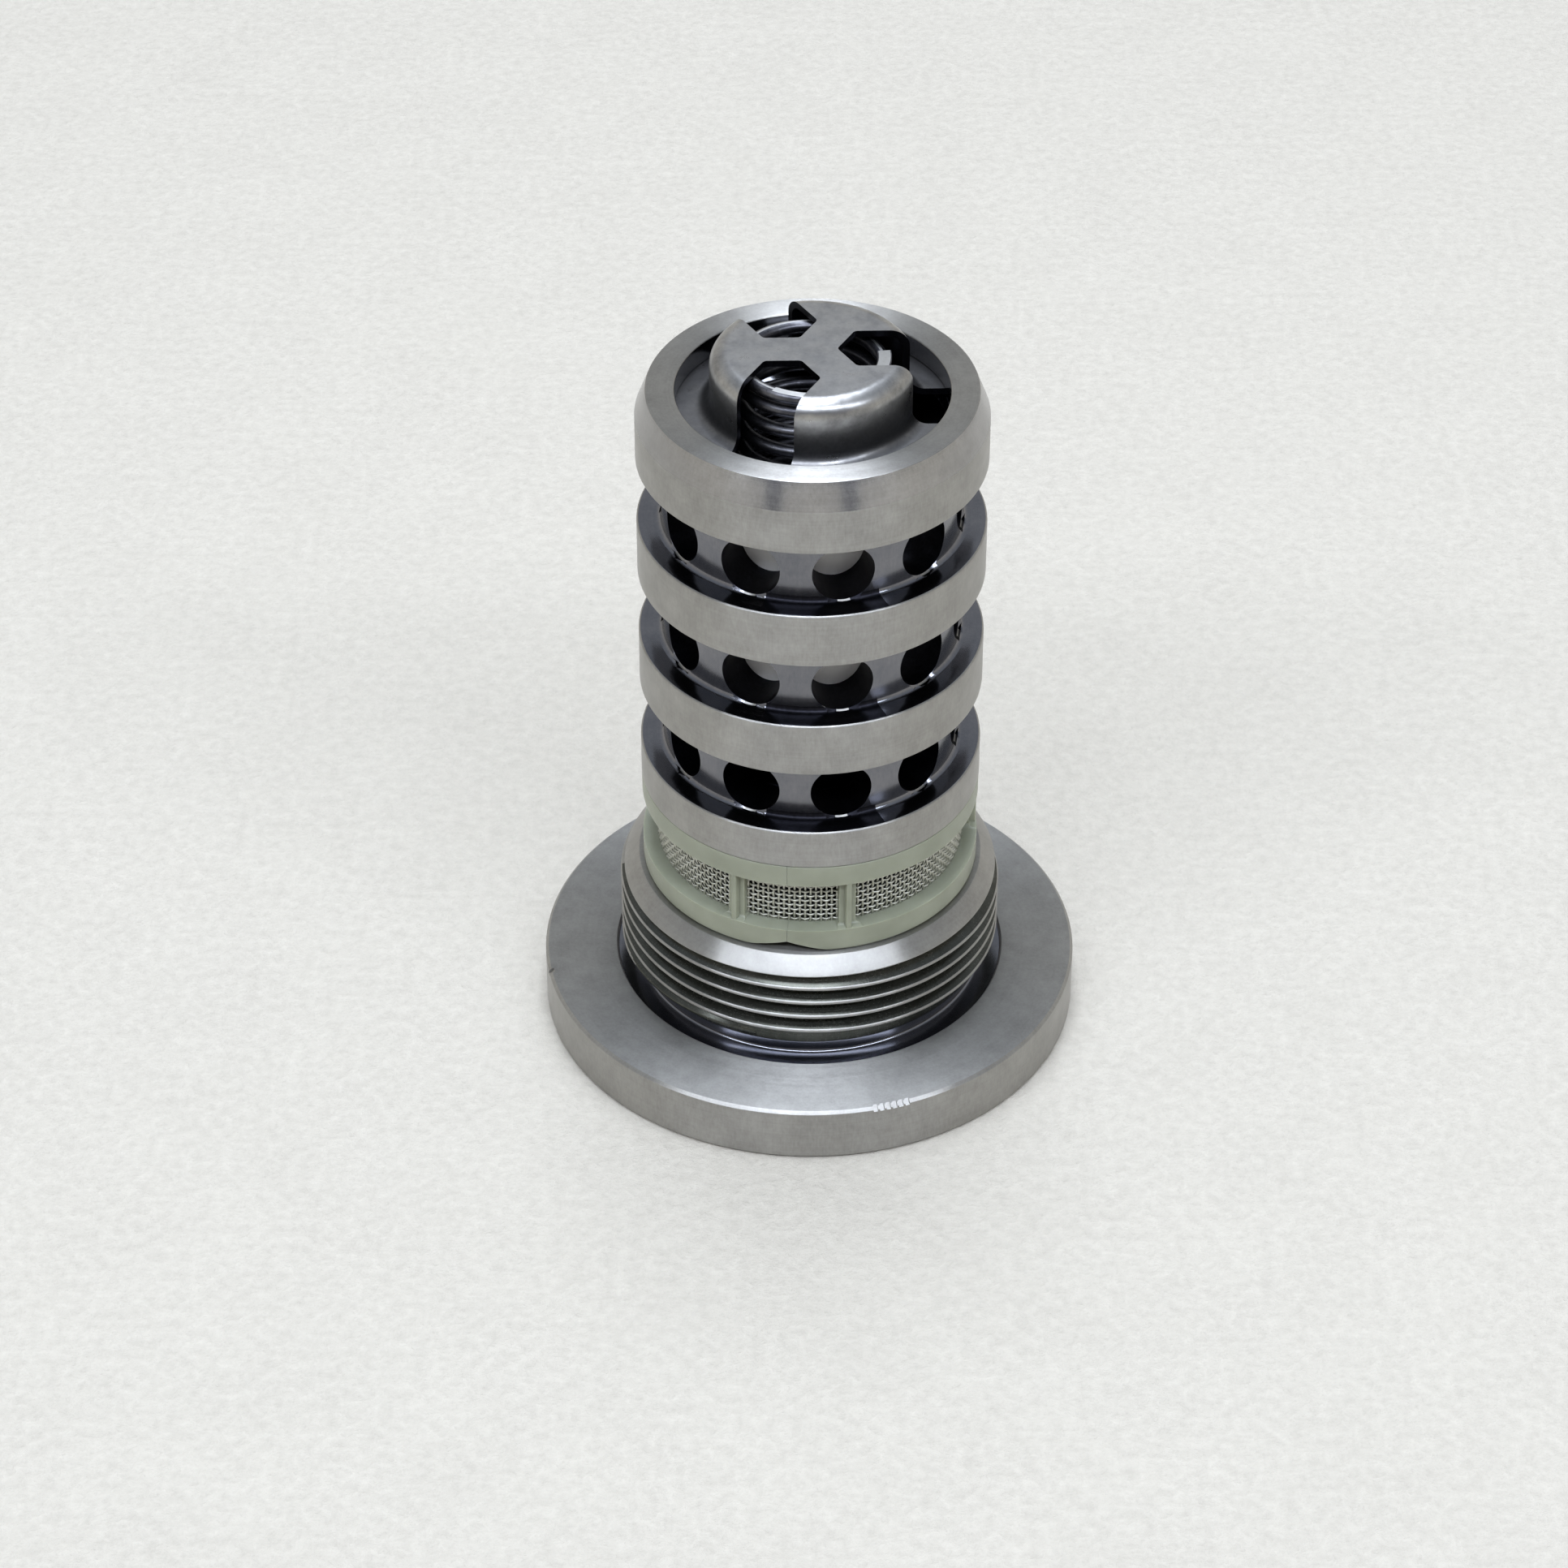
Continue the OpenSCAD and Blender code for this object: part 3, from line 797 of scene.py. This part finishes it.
def build_filter_mesh():
    """Plain weave: upright wires and rings that pass over and under each other."""
    upright_count = 2 * round(math.pi * mesh_r / upright_pitch)
    ring_count = round((mesh_high[2] - mesh_low[2]) / weft_pitch)
    spacing = (mesh_high[2] - mesh_low[2]) / ring_count
    swing = wire_d / 2
    az_pitch = 360 / upright_count
    wires = []
    for i in range(upright_count):
        side = 1 if i % 2 else -1
        points = []
        for k in range(2 * ring_count + 1):
            wave = math.sin(math.pi * k / 2) if k % 2 else 0
            points.append((mesh_r + side * swing * wave, joint_az + i * az_pitch,
                           mesh_low[2] + k * spacing / 2))
        wires.append(wire_path(points, wire_d / 2, 6, closed=False))
    for j in range(ring_count):
        side = -1 if j % 2 else 1
        points = []
        for k in range(2 * upright_count):
            wave = 0 if k % 2 else (1 if (k // 2) % 2 else -1)
            points.append((mesh_r - side * swing * wave, joint_az + k * az_pitch / 2,
                           mesh_low[2] + (j + 0.5) * spacing))
        wires.append(wire_path(points, wire_d / 2, 6, closed=True))
    weave = make_object("filter_weave", merge(wires))
    smooth(weave, math.radians(80))
    finish_piece(weave, "housing", "filter_mesh", filter_wire_material)


def arc(cx, cz, r, a0, a1, steps):
    """Points on an arc from angle a0 to angle a1, in degrees."""
    return [(cx + r * math.cos(math.radians(a0 + (a1 - a0) * k / steps)),
             cz + r * math.sin(math.radians(a0 + (a1 - a0) * k / steps))) for k in range(steps + 1)]


def is_inside_or_cut(centre, normal):
    """True on the inner side of the cap and on the edges that the slots leave."""
    r = math.hypot(centre[0], centre[1])
    outwards = (normal[0] * centre[0] + normal[1] * centre[1]) / r
    sideways = (normal[1] * centre[0] - normal[0] * centre[1]) / r
    edge_of_plate = r < cap_r - cap_shoulder_r and abs(normal[2]) < 0.1
    return outwards < -0.1 or normal[2] < -0.1 or abs(sideways) > 0.3 or edge_of_plate


def build_cap():
    """Pressed cap with its slots. Its inner side and the slots' edges are painted black, a painted shade."""
    shoulder = (cap_r - cap_shoulder_r, cap_top_z - cap_shoulder_r)
    foot = (cap_r + cap_foot_r, cap_flange_z + sheet_t + cap_foot_r)
    outer = arc(*foot, cap_foot_r, 270, 180, 10)
    outer += arc(*shoulder, cap_shoulder_r, 0, 90, 14)
    inner = arc(*shoulder, cap_shoulder_r - sheet_t, 90, 0, 14)
    inner += arc(*foot, cap_foot_r + sheet_t, 180, 270, 10)
    outline = [(cap_flange_r, cap_flange_z), (cap_flange_r, cap_flange_z + sheet_t)] + outer
    outline += [(0, cap_top_z), (0, cap_top_z - sheet_t)] + inner
    cap = make_object("cap_shell", lathe(outline))
    half = slot_w / 2
    corner_r = slot_point_r + half / math.tan(math.radians(60))
    slot = round_corners([(0, slot_point_r, slot_corner_r), (half, corner_r, slot_corner_r),
                          (half, cap_flange_r + 2, 0), (-half, cap_flange_r + 2, 0),
                          (-half, corner_r, slot_corner_r)], steps=5)
    cuts = [prism_z(slot, slot_az + i * 360 / slot_count, 0, cap_flange_z - 1, cap_top_z + 1)
            for i in range(slot_count)]
    boolean(cap, "DIFFERENCE", merge(cuts))
    smooth(cap)
    finish_piece(cap, "housing", "spring_cap", cap_material)
    # Painted shade: the cap's inner side and the slots' edges get near-black steel
    cap.data.materials.append(black_shade_material)
    for face in cap.data.polygons:
        face.material_index = int(is_inside_or_cut(face.center / MM, face.normal))


def helical_spring(r, wire, z0, z1, pitch, end_az):
    """Compression spring with closed ends that are ground flat. The wire ends at end_az at the top."""
    steps_per_turn = 72
    sides = 16
    rise_closed = 0.9 * wire
    z_low = z0 + 0.1 * wire
    z_high = z1 - 0.1 * wire
    turns = (z_high - z_low - 2 * rise_closed) / pitch + 2
    steps = round(turns * steps_per_turn)
    sections = []
    azimuths = []
    for i in range(steps + 1):
        t = turns * i / steps
        if t < 1:
            z = z_low + rise_closed * t
        elif t > turns - 1:
            z = z_high - rise_closed * (turns - t)
        else:
            z = z_low + rise_closed + (t - 1) * pitch
        ring = [(r + wire / 2 * math.cos(a), min(z1, max(z0, z + wire / 2 * math.sin(a))))
                for a in (2 * math.pi * (k + 0.5) / sides for k in range(sides))]
        sections.append(ring)
        azimuths.append(end_az + 360 * turns * (i - steps) / steps)
    return sweep(sections, azimuths)


def build_spring(name, node, body, wire, pitch, end_az):
    """A coil in the place of a spring's CAD node, on the body given."""
    low, high = box_mm(node)
    spring = make_object(name, helical_spring(high[0] - wire / 2, wire, low[2], high[2], pitch, end_az))
    smooth(spring)
    finish_piece(spring, body, node, spring_shade_material)
    spring.data.materials.append(ground_material)
    for face in spring.data.polygons:
        face.material_index = int(abs(face.normal.z) > 0.999)
    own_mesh(spring)


def build_spool():
    """Spool with its waists, cross holes and spring pocket. Its lands are near-white, a painted light; all
    below them is painted black shade.
    """
    waists = []
    for low, high in waist_z:
        waists += [(spool_r, low, 0.04), (waist_r, low, 0.3), (waist_r, high, 0.3), (spool_r, high, 0.04)]
    outline = [(gallery_r, spool_low[2], 0.1), (spool_r, spool_low[2], 0.15), *waists,
               (spool_r, neck_z, 0.05), (neck_r, neck_z, 0.2), (neck_r, spool_high[2], 0.1),
               (pocket_r, spool_high[2], 0.1), (pocket_r, pocket_z, 0.1), (gallery_r, pocket_z, 0.05)]
    spool = make_object("spool_body", lathe(refine(round_corners(outline), 1.0), 240))
    holes = [radial_prism(circle(cross_hole_r, 40), i * 360 / cross_hole_count, z, gallery_r - 1, spool_r + 1)
             for z in cross_hole_z for i in range(cross_hole_count)]
    boolean(spool, "DIFFERENCE", merge(holes))
    smooth(spool)
    finish_piece(spool, "spool", "spool", spool_light_material)
    spool.data.materials.append(black_shade_material)
    # Painted shade: the waists, cross holes and pocket get near-black steel
    for face in spool.data.polygons:
        x, y, _ = face.center / MM
        face.material_index = int(math.hypot(x, y) < spool_r - 0.05)


build_housing()
build_filter_frame()
build_filter_mesh()
build_cap()
build_spool()
build_spring("spring_coil", "return_spring", "housing",
             wire=spring_wire, pitch=spring_pitch, end_az=98)
build_spring("check_coil", "check_spring", "spool",
             wire=check_wire, pitch=check_pitch, end_az=0)

# The CAD nodes that stay, with their materials
for node, material in {
    "push_plug": hard_material,
    "gallery_plug": hard_material,
    "check_seat": hard_material,
    "check_ball": hard_material,
    "check_cage": hard_material,
    "stop_washer": hard_material,
    "retaining_ring": spring_shade_material,
}.items():
    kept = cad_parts[node]
    kept.data.materials.clear()
    kept.data.materials.append(material)


# ------------------------ stage, light and camera


def build_stage():
    """Plain pale floor just below the part."""
    half = 1500
    cells = 6
    row = cells + 1
    line = np.linspace(-half, half, row)
    vertices = [(x, y, -0.01) for y in line for x in line]
    faces = [[j * row + i, j * row + i + 1, (j + 1) * row + i + 1, (j + 1) * row + i]
             for j in range(cells) for i in range(cells)]
    floor = make_object("floor", (vertices, faces))
    floor.data.materials.append(pale_felt("pale_felt"))


def add_softbox(name, location, target, size, power):
    """Cool white area light, in metres and watts, that faces its target."""
    data = bpy.data.lights.new(name, "AREA")
    data.shape = "RECTANGLE"
    data.size, data.size_y = size
    data.energy = power
    data.color = (0.90, 0.97, 1.10)
    light = bpy.data.objects.new(name, data)
    light.location = location
    direction = np.array(target, float) - location
    light.rotation_euler = Vector(direction).to_track_quat("-Z", "Y").to_euler()
    bpy.context.scene.collection.objects.link(light)


def room_colour(tree, direction):
    """A plain room: warm near the floor, cooler above."""
    height = tree.nodes.new("ShaderNodeSeparateXYZ")
    tree.links.new(direction, height.inputs[0])
    ramp = tree.nodes.new("ShaderNodeValToRGB")
    tree.links.new(height.outputs["Z"], ramp.inputs["Fac"])
    low, high = ramp.color_ramp.elements
    low.position, high.position = 0.1, 0.75
    low.color = (0.76, 0.735, 0.68, 1)
    high.color = (0.40, 0.44, 0.50, 1)
    return ramp.outputs["Color"]


def add_dark_patch(tree, direction, under, azimuth, elevation, inner, outer):
    """A dark blue patch of the room, fading out between two angles."""
    clear = (1, 1, 1, 1)
    shade = (0.03, 0.035, 0.065, 1)
    level = math.cos(math.radians(elevation))
    upright = math.sin(math.radians(elevation))
    facing = tree.nodes.new("ShaderNodeVectorMath")
    facing.operation = "DOT_PRODUCT"
    facing.inputs[1].default_value = (*(level * v for v in polar(1, azimuth)), upright)
    tree.links.new(direction, facing.inputs[0])
    ramp = tree.nodes.new("ShaderNodeValToRGB")
    tree.links.new(facing.outputs["Value"], ramp.inputs["Fac"])
    near, far = ramp.color_ramp.elements
    near.position = math.cos(math.radians(outer))
    near.color = clear
    far.position = math.cos(math.radians(inner))
    far.color = shade
    darker = tree.nodes.new("ShaderNodeMix")
    darker.data_type = "RGBA"
    darker.blend_type = "DARKEN"
    darker.inputs["Factor"].default_value = 1.0
    tree.links.new(under, darker.inputs["A"])
    tree.links.new(ramp.outputs["Color"], darker.inputs["B"])
    return darker.outputs["Result"]


def build_light():
    """A plain room with dark patches in front, a softbox overhead and a wide one above the camera."""
    world = bpy.data.worlds.new("studio")
    world.use_nodes = True
    tree = world.node_tree
    background = tree.nodes["Background"]
    direction = tree.nodes.new("ShaderNodeTexCoord").outputs["Generated"]
    colour = room_colour(tree, direction)
    for side in (-1, 1):
        colour = add_dark_patch(tree, direction, colour, azimuth=side * 24, elevation=36, inner=20, outer=28)
        colour = add_dark_patch(tree, direction, colour, azimuth=side * 23, elevation=5, inner=4, outer=7.5)
    tree.links.new(colour, background.inputs["Color"])
    background.inputs["Strength"].default_value = 1.0
    bpy.context.scene.world = world
    add_softbox("ceiling", location=(0, 0.18, 1.2), target=(0, 0, 0), size=(0.50, 1.1), power=15.5)
    add_softbox("front_top", location=(0, -0.76, 1.07), target=(0, 0, 0.03), size=(2.4, 0.2), power=21.0)


def build_camera():
    """A long lens that looks down on the part from the front."""
    pitch, yaw, roll = math.radians(38.039), math.radians(-0.405), math.radians(0.107)
    ahead = np.array([math.sin(yaw) * math.cos(pitch), math.cos(yaw) * math.cos(pitch), -math.sin(pitch)])
    level = np.array([math.cos(yaw), -math.sin(yaw), 0])
    above = np.cross(level, ahead)
    right = math.cos(roll) * level + math.sin(roll) * above
    up = -math.sin(roll) * level + math.cos(roll) * above
    data = bpy.data.cameras.new("camera")
    data.sensor_width = 36
    data.lens = 107.71
    data.shift_y = 0.005885
    data.clip_start, data.clip_end = 0.01, 10
    camera = bpy.data.objects.new("camera", data)
    x, y, z = 0, -0.308396, 0.261865
    camera.matrix_world = Matrix([[right[0], up[0], -ahead[0], x], [right[1], up[1], -ahead[1], y],
                                  [right[2], up[2], -ahead[2], z], [0, 0, 0, 1]])
    bpy.context.scene.collection.objects.link(camera)
    bpy.context.scene.camera = camera


build_stage()
build_light()
build_camera()
bpy.context.scene.view_settings.view_transform = "Standard"
